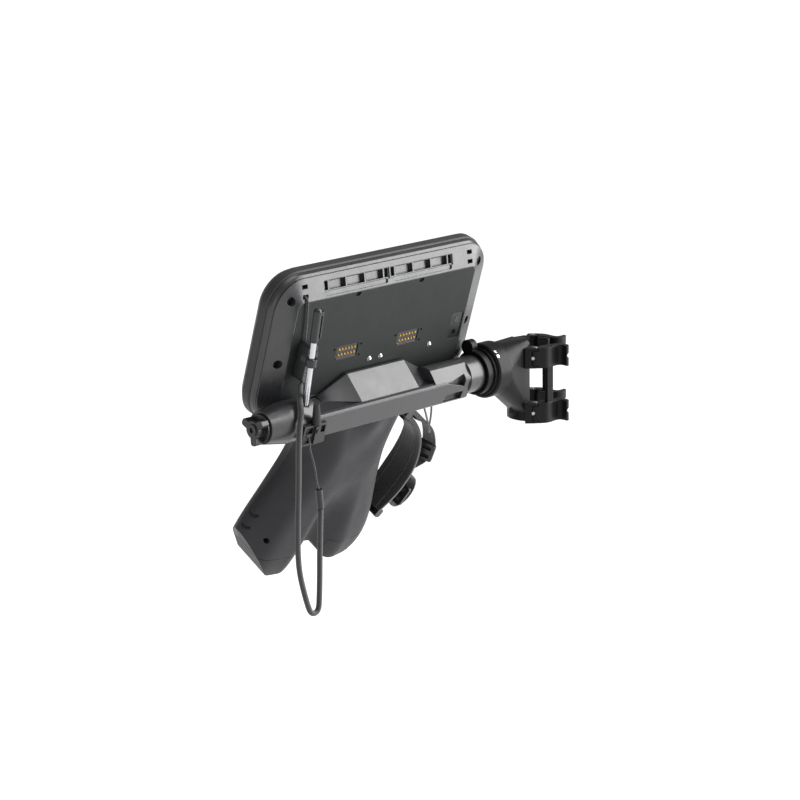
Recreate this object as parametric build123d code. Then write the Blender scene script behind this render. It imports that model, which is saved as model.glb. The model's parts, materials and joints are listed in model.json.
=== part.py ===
"""Rugged field data collector hung on a surveying pole by a quick-release bracket."""

import os
from math import cos, radians, sin, tan

from build123d import *

# Driving dimensions, in millimetres and degrees. The origin is on the pole's axis, at the
# middle of the clamp's height, and +Z runs up the pole. The operator stands on the -Y side.
POLE_R = 15.875
TILT = 18.0
AXIS_Z = 16.7
CLAMP_TURN = 135.0
FIT = 0.05
GAP = 0.3

SCREEN_X = 167.5
SCREEN_UP = 45.8
SCREEN_W = 220.0
SCREEN_H = 119.0
FRONT = -41.0
REAR_PANEL = -14.5

GRIP_BEND = 13.0
GRIP_BACK = -10.0
GRIP_UP = -14.0
CAP_LINE = -136.0

BEAM_LOW, BEAM_HIGH = -13.0, 7.0
BEAM_REAR, BEAM_FRONT = -13.2, 13.0
BEAM_NEAR, BEAM_FAR = 68.9, 287.0

# Frames: x stays along the bracket's tilt axis, y is the tablet's back normal, z its height.
TABLET = Location((0, 0, AXIS_Z), (-TILT, 0, 0))
GRIP = TABLET * Location((SCREEN_X, GRIP_BACK, GRIP_UP), (-GRIP_BEND, 0, 0))
CLAMP = Location((0, 0, 0), (0, 0, CLAMP_TURN))

# The stylus lies along this line in the tablet's frame.
STYLUS_TOP = (259.5, 5.0, 92.0)
STYLUS_TIP = (251.0, 5.0, 5.0)
STYLUS_AXIS = tuple(top - tip for top, tip in zip(STYLUS_TOP, STYLUS_TIP))

parts = {}


def block(x0, x1, y0, y1, z0, z1):
    """Box between two corners."""
    return Pos((x0 + x1) / 2, (y0 + y1) / 2, (z0 + z1) / 2) * Box(x1 - x0, y1 - y0, z1 - z0)


def rod(start, direction, radius, length):
    """Cylinder from a point along a direction."""
    return extrude(Plane(origin=start, z_dir=direction) * Circle(radius), amount=length)


def rear_plane(x, up, back):
    """Sketch plane facing the operator at a given depth, drawn x to the right and z up."""
    return Plane(origin=(x, back, up), x_dir=(1, 0, 0), z_dir=(0, -1, 0))


def slab(x, up, width, height, radius, front, back):
    """Rounded rectangle across x and z, between two depths."""
    return extrude(rear_plane(x, up, back) * RectangleRounded(width, height, radius),
                   amount=back - front)


def screen_slab(width, height, radius, front, back):
    return slab(SCREEN_X, SCREEN_UP, width, height, radius, front, back)


def screen_loft(levels):
    """Ruled loft through (depth, width, height, corner radius) outlines of the screen half."""
    return loft([rear_plane(SCREEN_X, SCREEN_UP, back) * RectangleRounded(width, height, radius)
                 for back, width, height, radius in levels], ruled=True)


def prism_x(points, x0, x1):
    """Polygon in (y, z), extruded along x."""
    outline = make_face(Polyline([(x0, y, z) for y, z in points], close=True))
    return extrude(outline, amount=x1 - x0, dir=(1, 0, 0))


def prism_y(points, y0, y1):
    """Polygon in (x, z), extruded along y."""
    outline = make_face(Polyline([(x, y0, z) for x, z in points], close=True))
    return extrude(outline, amount=y1 - y0, dir=(0, 1, 0))


def prism_z(points, z0, z1):
    """Polygon in (x, y), extruded along z."""
    outline = make_face(Polyline([(x, y, z0) for x, y in points], close=True))
    return extrude(outline, amount=z1 - z0, dir=(0, 0, 1))


def join(items):
    result = items[0]
    for item in items[1:]:
        result += item
    return result


def add(name, shape, frame=None):
    parts[name] = shape if frame is None else frame * shape


# --- Screen half -------------------------------------------------------------------------
GLASS_W, GLASS_H = 170.0, 101.0
CORNER = 26.0
BUMPER_FRONT, BUMPER_REAR = -39.4, -27.2
SCREW_SPOTS = [(side * x, up) for side in (-1, 1) for x, up in ((96.5, 88.0), (97.5, 38.0), (96.0, 1.0))]
SLOPE_TOP, SLOPE_LOW = (-21.2, 102.8), (REAR_PANEL, 86.8)
SLOPE_ANGLE = 22.7
POCKET_CELLS = ((1.5, 5.0), (6.6, 24.0), (25.4, 42.8), (44.2, 60.4), (61.8, 65.0))
BOSS_SPOTS = [(x, up) for x in (-99.0, 99.0) for up in (11.0, 81.0)]
BOARD_SPOTS = [(x, up) for x in (-60.0, 60.0) for up in (24.0, 68.0)]


def slope_frame():
    """Frame on the sloped band above the rear panel: x along the band, z out of it."""
    return Location(
        (SCREEN_X, (SLOPE_TOP[0] + SLOPE_LOW[0]) / 2, (SLOPE_TOP[1] + SLOPE_LOW[1]) / 2),
        (-90 + SLOPE_ANGLE, 0, 0),
    )


def latch_pockets():
    """Two pockets for the latches of a clip-on module: a row of ribbed cells under a recess."""
    cuts = []
    for side in (-1, 1):
        for near, far in POCKET_CELLS:
            cuts.append(Pos(side * (near + far) / 2, -0.2, -1.2) * Box(far - near, 6.6, 5.4))
        cuts.append(Pos(side * 33.2, 0.2, 0) * Box(65.4, 8.4, 1.6))
        recess = fillet(Box(62.0, 3.4, 3.2).edges().filter_by(Axis.Z), 1.5)
        cuts.append(Pos(side * 33.6, 5.6, 0.5) * recess)
    return slope_frame() * join(cuts)


def lanyard_slots():
    """Two slots in each upper corner that a wrist cord threads through."""
    cuts = []
    for side in (-1, 1):
        x = SCREEN_X + side * 84.5
        for up in (90.4, 97.0):
            cuts.append(block(x - 2.6, x + 2.6, -24.0, -12.0, up - 1.4, up + 1.4))
    return join(cuts)


def edge_bumper():
    bumper = screen_loft([(BUMPER_FRONT, 212, 111, 22.5), (-34.2, SCREEN_W, SCREEN_H, CORNER)])
    bumper += screen_slab(SCREEN_W, SCREEN_H, CORNER, -34.2, -28.4)
    bumper += screen_loft([(-28.4, SCREEN_W, SCREEN_H, CORNER), (BUMPER_REAR, 218.6, 117.6, 25.3)])
    bumper -= screen_slab(208.4, 107.4, 20.2, -50, -20)
    add("edge_bumper", bumper, TABLET)


def mid_frame():
    frame = screen_loft([(-26.9, 218.4, 117.4, 25.2), (-24.2, 217.2, 116.2, 24.6)])
    frame += screen_loft([(-24.2, 217.2, 116.2, 24.6), (-22.3, 214.6, 113.6, 23.3)])
    frame += screen_slab(207.8, 106.8, 20, -33.8, -26.9)
    frame -= screen_slab(202, 101, 17.5, -40, -20)
    for x, up in BOSS_SPOTS:
        boss = rod((SCREEN_X + x, -33.8, up), (0, 1, 0), 4.5, 11.5)
        frame += boss - rod((SCREEN_X + x, -34.0, up), (0, 1, 0), 1.3, 10.0)
    for x, up in SCREW_SPOTS:
        frame -= rod((SCREEN_X + x, -26.0, up), (0, 1, 0), 1.65, 6.0)
    add("mid_frame", frame, TABLET)


def front_bezel():
    bezel = screen_loft([(FRONT, 208, 107, 20.5), (-39.6, 211, 110, 22)])
    bezel += screen_slab(207.8, 106.8, 20, -39.6, -34.0)
    bezel -= screen_slab(GLASS_W, GLASS_H, 6, -50, -38.9)
    bezel -= screen_slab(157, 97, 3, -50, -30)
    bezel -= slab(SCREEN_X + 94.5, 78, 9.6, 15.6, 4.7, -50, -30)
    bezel -= slab(SCREEN_X - 94.5, 78, 3.0, 9.0, 1.4, -50, -40.2)
    for x in (-34.0, -26.0, 26.0, 34.0):
        bezel -= slab(SCREEN_X + x, SCREEN_UP + 52.0, 6, 1.2, 0.5, -50, -40.0)
    add("front_bezel", bezel, TABLET)
    add("touch_glass", screen_slab(GLASS_W - 0.6, GLASS_H - 0.6, 5.7, -40.7, -38.9), TABLET)
    add("display_panel", screen_slab(156, 96, 2, -38.9, -35.0), TABLET)


def main_board():
    board = screen_slab(188, 88, 3, -32.0, -30.4)
    for x in (-60.0, -15.0, 40.0):
        board += block(SCREEN_X + x, SCREEN_X + x + 16, -30.4, -27.6, 40, 56)
    add("main_board", board, TABLET)


def rear_cover():
    cover = screen_slab(214.4, 113.4, 23.2, -22.0, SLOPE_TOP[0])
    cover += screen_loft([(SLOPE_TOP[0], 214.4, 113.4, 23.2), (REAR_PANEL, 182, 82, 5)])
    backing = cover & block(SCREEN_X - 70, SCREEN_X + 70, -24, -15, 84, 98)
    cover -= screen_loft([(-22.5, 206, 105, 19), (-18.9, 172, 73, 4)])
    cover += backing + block(SCREEN_X - 70, SCREEN_X + 70, -24.0, -21.5, 84.0, 95.8)
    for x, up in BOARD_SPOTS:
        cover += rod((SCREEN_X + x, -30.3, up), (0, 1, 0), 3.2, 12.0)
    cuts = [screen_slab(180.4, 80.4, 4.3, -16.7, -10), latch_pockets(), lanyard_slots()]
    for x, up in SCREW_SPOTS:
        cuts.append(rod((SCREEN_X + x, -21.4, up), (0, 1, 0), 3.3, 12))
        cuts.append(rod((SCREEN_X + x, -30.0, up), (0, 1, 0), 1.65, 12))
    for cut in cuts:
        cover -= cut
    add("rear_cover", cover, TABLET)


def housing_screws():
    heads = []
    for x, up in SCREW_SPOTS:
        head = rod((SCREEN_X + x, -21.4, up), (0, 1, 0), 2.7, 1.5)
        socket = Plane(origin=(SCREEN_X + x, -20.9, up), z_dir=(0, 1, 0)) * RegularPolygon(1.2, 6)
        shank = rod((SCREEN_X + x, -25.5, up), (0, 1, 0), 1.5, 4.2)
        heads.append(head - extrude(socket, amount=2) + shank)
    add("housing_screws", Compound(heads), TABLET)


# --- Rear panel and what it carries ------------------------------------------------------
CONNECTOR_X = 31.4
CONNECTOR_UP = 37.0
PIN_PITCH = 3.1
PIN_ROW = 4.4
STUD_SPOTS = ((-6.2, 26.0), (5.2, 26.0), (-58.0, 26.0))
CAMERA_SPOT = (-83.3, 37.3)


def rear_panel():
    panel = screen_slab(180.0, 80.0, 4.1, -16.6, REAR_PANEL)
    for side in (-1, 1):
        x = SCREEN_X + side * CONNECTOR_X
        panel -= slab(x, CONNECTOR_UP, 21.6, 11.6, 1.5, -16.0, -10)
        for dx, du in ((-13.6, 4.0), (13.6, 4.0), (-13.6, -5.0)):
            panel -= rod((x + dx, -16.0, CONNECTOR_UP + du), (0, 1, 0), 0.9, 5)
        panel -= slab(SCREEN_X + side * 32.5, 85.4, 5.6, 5.6, 2.7, -15.9, -10)
    for x, up in STUD_SPOTS:
        panel -= rod((SCREEN_X + x, -15.9, up), (0, 1, 0), 1.95, 5)
    x, up = SCREEN_X + CAMERA_SPOT[0], CAMERA_SPOT[1]
    panel -= slab(x, up, 12.4, 21.9, 1.8, -16.0, -10)
    add("rear_panel", panel, TABLET)

    bases, pins = [], []
    for side in (-1, 1):
        x = SCREEN_X + side * CONNECTOR_X
        base = slab(x, CONNECTOR_UP, 21.2, 11.2, 1.4, -16.0, -15.0)
        base += slab(x, CONNECTOR_UP - 4.9, 20.0, 1.4, 0.4, -15.0, -14.4)
        for row in (-0.5, 0.5):
            for column in range(6):
                spot = (x + (column - 2.5) * PIN_PITCH, -15.8, CONNECTOR_UP + 0.4 + row * PIN_ROW)
                base -= rod(spot, (0, 1, 0), 0.85, 3)
                pins.append(rod(spot, (0, 1, 0), 0.85, 1.1) + rod(spot, (0, 1, 0), 0.5, 1.7))
        bases.append(base)
    add("connector_bases", Compound(bases), TABLET)
    add("connector_pins", Compound(pins), TABLET)

    studs = []
    for sx, sup in STUD_SPOTS:
        stud = rod((SCREEN_X + sx, -15.9, sup), (0, 1, 0), 1.9, 1.4)
        stud += Pos(SCREEN_X + sx, -14.4, sup) * Sphere(1.5)
        studs.append(stud)
    add("panel_studs", Compound(studs), TABLET)

    camera = slab(SCREEN_X + CAMERA_SPOT[0], CAMERA_SPOT[1], 12.0, 21.5, 1.6, -16.0, -15.1)
    spots = []
    for du, radius in ((5.0, 2.6), (-5.6, 1.8)):
        spot = (SCREEN_X + CAMERA_SPOT[0], -15.7, CAMERA_SPOT[1] + du)
        camera -= rod(spot, (0, 1, 0), radius + 0.1, 3)
        spots.append(rod(spot, (0, 1, 0), radius, 0.9))
    add("camera_window", camera, TABLET)
    add("camera_lenses", Compound(spots), TABLET)


# --- Lower half: palm grip with two battery lobes ------------------------------------------
# Stations down the grip: (height, front half width, widest half width, shoulder half width,
# shoulder depth, ridge half width, ridge depth, middle depth).
STATIONS = (
    (2.0, 46.0, 51.0, 40.0, 2.0, 17.0, 8.0, 8.0),
    (-25.0, 42.0, 45.5, 35.0, 3.0, 18.0, 11.5, 12.0),
    (-52.0, 41.0, 44.0, 36.0, 5.0, 18.0, 12.5, 12.5),
    (-80.0, 47.0, 52.5, 41.0, 7.0, 19.0, 12.5, 10.0),
    (-108.0, 54.0, 62.5, 49.0, 7.5, 23.0, 13.0, 2.0),
    (-134.0, 57.0, 67.0, 54.0, 7.0, 27.0, 13.0, -1.0),
    (-150.0, 56.0, 66.0, 53.0, 5.5, 28.0, 11.0, -3.0),
    (-168.0, 54.0, 63.0, 51.0, 0.0, 28.0, 4.0, -6.0),
)
GRIP_FRONT = -26.0
GRIP_SEAM = -18.0
PACK_W, PACK_D = 27.0, 16.5
PACK_X, PACK_Y = 32.5, -8.6
PACK_TOP = -78.0
CAP_GAP = 0.4


def grip_section(station):
    """Cross section of the grip, flat on the operator's side and rounded behind."""
    up, front, widest, shoulder, shoulder_y, ridge, ridge_y, middle_y = station
    rear = [
        (front, GRIP_FRONT),
        (widest - 1.0, -19.0),
        (widest, -12.0),
        (shoulder + 6.0, shoulder_y - 7.0),
        (shoulder, shoulder_y),
        (ridge + 6.0, ridge_y - 0.6),
        (ridge, ridge_y),
        (ridge / 2, (ridge_y + middle_y) / 2),
        (0, middle_y),
    ]
    points = rear + [(-x, y) for x, y in rear[-2::-1]]
    arc = Spline([(x, y, up) for x, y in points])
    base = Line((-front, GRIP_FRONT, up), (front, GRIP_FRONT, up))
    return make_face([arc, base])


def grip_outline():
    """Front view of the grip: two lobes with slanted outer corners and an arch between them."""
    right = [(90, 10), (90, -94), (67, -120), (42, -157), (16.5, -157), (15.5, -146), (8, -140.5)]
    shape = prism_y(right + [(-x, z) for x, z in reversed(right)], -60, 40)
    for low, high, radius in ((-158, -156, 9.0), (-148, -140, 5.0)):
        corners = [edge for edge in shape.edges().filter_by(Axis.Y) if low < edge.center().Z < high]
        shape = fillet(corners, radius)
    return shape


def battery_bay(side, grow, low, high):
    """Straight-sided space for one battery pack, or the pack itself, between two heights."""
    width, depth = PACK_W + 2 * grow, PACK_D + 2 * grow
    bay = Pos(side * PACK_X, PACK_Y, (low + high) / 2) * Box(width, depth, high - low)
    return fillet(bay.edges().filter_by(Axis.Z), 4.0 + grow)


def grip():
    outer = loft([grip_section(station) for station in STATIONS]) & grip_outline()
    outer -= GRIP.inverse() * TABLET * block(0, 400, -60, 40, SCREEN_UP - SCREEN_H / 2 - FIT, 60)
    upper = outer & block(-90, 90, -60, 60, CAP_LINE + CAP_GAP, 60)
    for side in (-1, 1):
        upper -= battery_bay(side, GAP, CAP_LINE - 10, PACK_TOP + 0.5)
    tongue = outer & block(-15.0, 15.0, -60, 60, -200, CAP_LINE + CAP_GAP)
    body = upper + tongue
    rear = body & block(-90, 90, GRIP_SEAM + 0.15, 60, -200, 60)
    rear -= block(-34, 34, -60, 2.0, -70, -12)
    for side in (-1, 1):
        for up in (-105.0, -113.0):
            rear -= Pos(side * 62.0, -12.0, up) * Rot(0, side * 45, 0) * Box(12.0, 8.0, 1.6)
        rear -= rod((side * 50.0, -4.0, -118.0), (side * 0.45, 0.9, 0), 2.3, 30)
    add("grip_rear_shell", rear, GRIP)
    front = body & block(-90, 90, -60, GRIP_SEAM - 0.15, -200, 60)
    add("keypad_plate", front - controls_openings(), GRIP)
    for side, hand in ((1, "left"), (-1, "right")):
        near, far = sorted((side * 15.3, side * 90))
        cap = outer & block(near, far, -60, 60, -200, CAP_LINE)
        cap -= battery_bay(side, 0.02, CAP_LINE - 2.0, CAP_LINE + 5)
        add("battery_cap_" + hand, cap, GRIP)
        pack = battery_bay(side, 0.0, CAP_LINE - 1.98, PACK_TOP)
        for dx in (-9.0, -3.0, 3.0, 9.0):
            x = side * PACK_X + dx
            pack -= block(x - 1.5, x + 1.5, -4.0, 2.0, PACK_TOP - 4.0, PACK_TOP + 2)
        add("battery_pack_" + hand, pack, GRIP)
    return outer


# --- Controls on the operator's side -------------------------------------------------------
KEY_W, KEY_H = 7.6, 6.2
KEY_PITCH_X, KEY_PITCH_Z = 9.2, 9.6
KEY_ROWS, KEY_COLUMNS = 6, 8
KEYS_TOP = -44.0
PAD_UP = -22.0
SIDE_KEYS = [
    (side, key + hand, up)
    for side, hand in ((-1, "left"), (1, "right"))
    for key, up in (("function_key_", -17.0), ("menu_key_", -28.0))
]


def key_spots():
    for row in range(KEY_ROWS):
        for column in range(KEY_COLUMNS):
            yield ((column - (KEY_COLUMNS - 1) / 2) * KEY_PITCH_X, KEYS_TOP - row * KEY_PITCH_Z)


def controls_openings():
    """Openings in the keypad plate, a little larger than the keys that rise through them."""
    cuts = [Pos(x, GRIP_FRONT, up) * Box(KEY_W + 0.6, 10.0, KEY_H + 0.6) for x, up in key_spots()]
    cuts.append(block(-38.0, 38.0, GRIP_FRONT + 2.9, -10.0, KEYS_TOP - 79.0, KEYS_TOP + 7.5))
    cuts.append(rod((0, GRIP_FRONT - 5, PAD_UP), (0, 1, 0), 11.4, 20.0))
    for side, _, up in SIDE_KEYS:
        cuts.append(slab(side * 24.0, up, 13.6, 8.6, 3.8, GRIP_FRONT - 5, GRIP_FRONT + 5))
    return Compound(cuts)


def controls():
    carrier = Pos(0, GRIP_FRONT + 3.6, KEYS_TOP - 2.5 * KEY_PITCH_Z) * Box(75.0, 1.2, 59.0)
    keys = [Pos(x, GRIP_FRONT + 1.1, up) * Box(KEY_W, 5.0, KEY_H) for x, up in key_spots()]
    add("alpha_keys", join([carrier] + keys), GRIP)
    ring = rod((0, GRIP_FRONT - 1.6, PAD_UP), (0, 1, 0), 11.0, 4.0)
    add("navigation_pad", ring - rod((0, GRIP_FRONT - 2.0, PAD_UP), (0, 1, 0), 5.4, 8), GRIP)
    add("enter_key", rod((0, GRIP_FRONT - 1.8, PAD_UP), (0, 1, 0), 5.0, 4.2), GRIP)
    for side, name, up in SIDE_KEYS:
        add(name, slab(side * 24.0, up, 13.0, 8.0, 3.5, GRIP_FRONT - 1.6, GRIP_FRONT + 2.6), GRIP)
    add("power_key", slab(SCREEN_X + 94.5, 78, 9.0, 15.0, 4.4, -42.2, -37.0), TABLET)


# --- Cradle that holds the tablet ----------------------------------------------------------
BARREL_R, BARREL_END_R = 15.4, 12.2
NEAR_BARREL_R = 14.2
NECK_ROUND, NECK_END = 84.0, 122.0
SADDLE_TOP = 19.8
SADDLE_X = (138.0, 197.0)
SADDLE_FOOT = 26.0
KNOB_PRONGS = 3
SCREW_R = 4.0


def saddle():
    """Ramp from the beam's front edge up to the tablet, with flanks that fade out sideways."""
    ramp = [(BEAM_REAR, 4.0), (BEAM_REAR, SADDLE_TOP), (-11.0, SADDLE_TOP), (9.4, BEAM_HIGH), (9.4, 4.0)]
    foot = [(BEAM_REAR, 4.0), (BEAM_REAR, 5.4), (-12.6, 5.4), (-6.0, 5.0), (-6.0, 4.0)]
    shape = prism_x(ramp, *SADDLE_X)
    for x, outward in ((SADDLE_X[0], -1), (SADDLE_X[1], 1)):
        faces = []
        for points, place in ((ramp, x), (foot, x + outward * SADDLE_FOOT)):
            faces.append(make_face(Polyline([(place, y, z) for y, z in points], close=True)))
        shape += loft(faces, ruled=True)
    return shape


def cradle():
    section = [
        (BEAM_REAR, BEAM_LOW), (10.5, BEAM_LOW), (12.4, -11.0), (BEAM_FRONT, 4.6),
        (12.2, 6.6), (9.6, BEAM_HIGH), (7.0, 5.2), (BEAM_REAR, 4.6),
    ]
    neck_section = section[:4] + [(12.4, 6.2), (2.5, 14.2), (BEAM_REAR, 14.2)]
    beam = prism_x(section, NECK_ROUND, 256.0)
    beam += rod((BEAM_NEAR, 0, 0), (1, 0, 0), NEAR_BARREL_R, NECK_ROUND - BEAM_NEAR)
    neck = rod((NECK_ROUND, 0, 0), (1, 0, 0), NEAR_BARREL_R, NECK_END - NECK_ROUND)
    beam += neck & prism_x(neck_section, NECK_ROUND, NECK_END)
    barrel = [(0, 244.0), (BARREL_R, 244.0), (BARREL_R, 268.0), (BARREL_END_R, BEAM_FAR), (0, BEAM_FAR)]
    outline = make_face(Polyline([(x, 0, radius) for radius, x in barrel], close=True))
    beam += revolve(outline, Axis.X)
    beam += saddle()
    beam -= block(40, 300, -40, BEAM_REAR, -30, 30)
    beam -= rod((BEAM_NEAR - 1, 0, 0), (1, 0, 0), 7.0 + FIT, 40.0)
    beam -= rod((250.0, 0, 0), (1, 0, 0), SCREW_R + FIT, 60.0)
    beam -= prism_y([(90.0, -0.5), (90.0, 8.5), (109.0, 5.5)], 9.0, 20)
    beam -= prism_y([(91.0, -11.0), (90.0, -4.6), (108.0, -4.2), (111.5, -11.0)], 9.0, 20)
    socket = Plane(origin=STYLUS_TIP, z_dir=STYLUS_AXIS).offset(-0.5)
    beam -= extrude(socket * Circle(2.6), amount=12)
    add("cradle_beam", beam, TABLET)

    add("cradle_pad", block(140.0, 195.0, REAR_PANEL + 0.02, BEAM_REAR - 0.02, 7.2, 17.2), TABLET)

    knob = rod((BEAM_FAR + 0.6, 0, 0), (1, 0, 0), 10.6, 1.6)
    knob += rod((BEAM_FAR + 2.0, 0, 0), (1, 0, 0), 6.6, 6.0)
    for k in range(KNOB_PRONGS):
        place = Rot(51 + 360 / KNOB_PRONGS * k, 0, 0) * Pos(BEAM_FAR + 4.8, 8.4, 0)
        knob += place * fillet(Box(6.4, 6.8, 5.6).edges().filter_by(Axis.X), 2.0)
    knob += rod((BEAM_FAR + 8.0, 0, 0), (1, 0, 0), 4.4, 1.0)
    knob -= rod((BEAM_FAR + 7.8, 0, 0), (1, 0, 0), 2.0, 3)
    knob -= rod((BEAM_FAR, 0, 0), (1, 0, 0), 2.9, 6.0)
    add("release_knob", knob, TABLET)
    screw = rod((252.0, 0, 0), (1, 0, 0), SCREW_R, BEAM_FAR - 252.0 + 0.4)
    screw += rod((BEAM_FAR, 0, 0), (1, 0, 0), 2.9, 6.0)
    add("release_screw", screw, TABLET)


# --- Tilt joint and pole clamp -------------------------------------------------------------
RING_R, LOBE_AT, LOBE_R = 17.2, 20.0, 5.8
RING_LOBES = (106, -134)
RING_X = (62.3, 68.3)
COLLAR_R, STEP_R = 21.4, 18.6
COLLAR_X = (45.0, 59.9)
STEP_END = 62.0
AXLE_R = 7.0
HUB_R = 12.0
LINER_R = 17.2
ARM_R = 20.2
JAW_Z = (14.0, 30.0)
PIVOT = (1.0, 22.4)
EAR_R = 4.2
EAR_THICK = 2.2


def tilt_joint():
    axis = Location((0, 0, AXIS_Z))
    axle = rod((26.0, 0, 0), (1, 0, 0), AXLE_R, 80.0)
    axle += rod((STEP_END - 3.0, 0, 0), (1, 0, 0), HUB_R, RING_X[1] - STEP_END + 3.0)
    axle -= rod((98.0, 0, 0), (1, 0, 0), 2.6, 10)
    add("tilt_axle", axle, axis)
    width = RING_X[1] - RING_X[0]
    ring = rod((RING_X[0], 0, 0), (1, 0, 0), RING_R, width)
    for lobe in RING_LOBES:
        angle = radians(lobe)
        ring += rod((RING_X[0], LOBE_AT * cos(angle), LOBE_AT * sin(angle)), (1, 0, 0), LOBE_R, width)
    ring -= rod((50, 0, 0), (1, 0, 0), HUB_R + FIT, 30)
    ring -= rod((RING_X[1] - 1.6, 0, 0), (1, 0, 0), 15.2, 5)
    add("tilt_ring", ring, axis)


def ears(z0, z1, grow):
    shape = []
    for side in (-1, 1):
        shape.append(Pos(PIVOT[0], side * PIVOT[1], z0) * extrude(Circle(EAR_R + grow), amount=z1 - z0))
    return shape


def clamp_arm(z0, z1):
    """C-shaped arm of the clamp body with the forked ears that carry its jaw pivots."""
    arm = Pos(0, 0, z0) * extrude(Circle(ARM_R), amount=z1 - z0)
    arm -= block(-1.0, 60, -60, 60, -60, 60)
    for side, ear in zip((-1, 1), ears(z0, z1, 0.0)):
        near, far = sorted((side * 15.0, side * (PIVOT[1] + EAR_R)))
        arm += ear + (block(-7.0, PIVOT[0], near, far, z0, z1) - block(-20, -2, 20, 40, z0, z1))
    arm -= Pos(0, 0, z0 - 1) * extrude(Circle(LINER_R), amount=z1 - z0 + 2)
    for side, gap in zip((-1, 1), ears(z0 + EAR_THICK, z1 - EAR_THICK, 0.9)):
        near, far = sorted((side * 16.0, side * 40.0))
        arm -= gap + block(PIVOT[0], 30, near, far, z0 + EAR_THICK, z1 - EAR_THICK)
    return arm


def clamp_body():
    body = clamp_arm(*JAW_Z) + clamp_arm(-JAW_Z[1], -JAW_Z[0])
    body += block(-19.0, -11.0, -12.0, 12.0, -25, 30)
    body = CLAMP * body
    near = Plane(origin=(14.0, 0, 4.0), x_dir=(0, 1, 0), z_dir=(1, 0, 0))
    far = Plane(origin=(COLLAR_X[0], 0, AXIS_Z), x_dir=(0, 1, 0), z_dir=(1, 0, 0))
    ends = [near * RectangleRounded(20.0, 63.0, 4.0), far * RectangleRounded(38.0, 38.0, 18.9)]
    body += loft(ends, ruled=True)
    collar = rod((COLLAR_X[0], 0, AXIS_Z), (1, 0, 0), COLLAR_R, COLLAR_X[1] - COLLAR_X[0])
    body += chamfer(collar.edges().filter_by(GeomType.CIRCLE), 1.2)
    body += rod((COLLAR_X[1] - 2.0, 0, AXIS_Z), (1, 0, 0), STEP_R, STEP_END - COLLAR_X[1] + 2.0)
    body -= Pos(0, 0, -40) * extrude(Circle(LINER_R), amount=80)
    body -= rod((25.0, 0, AXIS_Z), (1, 0, 0), AXLE_R, 80.0)
    body -= rod((STEP_END - 3.0, 0, AXIS_Z), (1, 0, 0), HUB_R, 5.0)
    for side in (-1, 1):
        for z in (JAW_Z[0], -JAW_Z[1]):
            body -= CLAMP * (Pos(PIVOT[0], side * PIVOT[1], z - 1) * extrude(Circle(2.0), amount=18))
    for x, y, z in COLLAR_SCREWS:
        body -= rod((x, y * 0.9, AXIS_Z + z * 0.9), (0, y, z), 1.5, 5)
    add("clamp_body", body)


COLLAR_SCREWS = [(56.4, COLLAR_R * cos(radians(a)), COLLAR_R * sin(radians(a))) for a in (52.0, 40.0)]


def clamp_trim():
    screws = [rod((x, y * 0.905, AXIS_Z + z * 0.905), (0, y, z), 1.4, 1.8) for x, y, z in COLLAR_SCREWS]
    add("collar_screws", Compound(screws))
    liners, pins = [], []
    for z in (JAW_Z[0], -JAW_Z[1]):
        liner = Pos(0, 0, z + 0.5) * extrude(Circle(LINER_R - 0.02) - Circle(POLE_R), amount=15.0)
        liners.append(liner - block(-1.2, 60, -60, 60, -60, 60))
        for side in (-1, 1):
            pins.append(Pos(PIVOT[0], side * PIVOT[1], z - 0.3) * extrude(Circle(2.0), amount=16.6))
    add("pole_liners", CLAMP * Compound(liners))
    add("jaw_pins", CLAMP * Compound(pins))


# Plan of a jaw finger: knuckle, waist, hooked grip and flared lead-in.
JAW_CURVE = [
    (-3.0, 24.4), (1.0, 27.0), (5.0, 26.2), (9.5, 25.2), (14.0, 21.6), (17.6, 17.2),
    (20.6, 15.6), (23.6, 17.2), (25.6, 19.8), (27.4, 18.2), (27.0, 14.4), (23.6, 10.8),
    (20.4, 9.6), (16.6, 10.6),
]
JAW_TIP = 8


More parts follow.
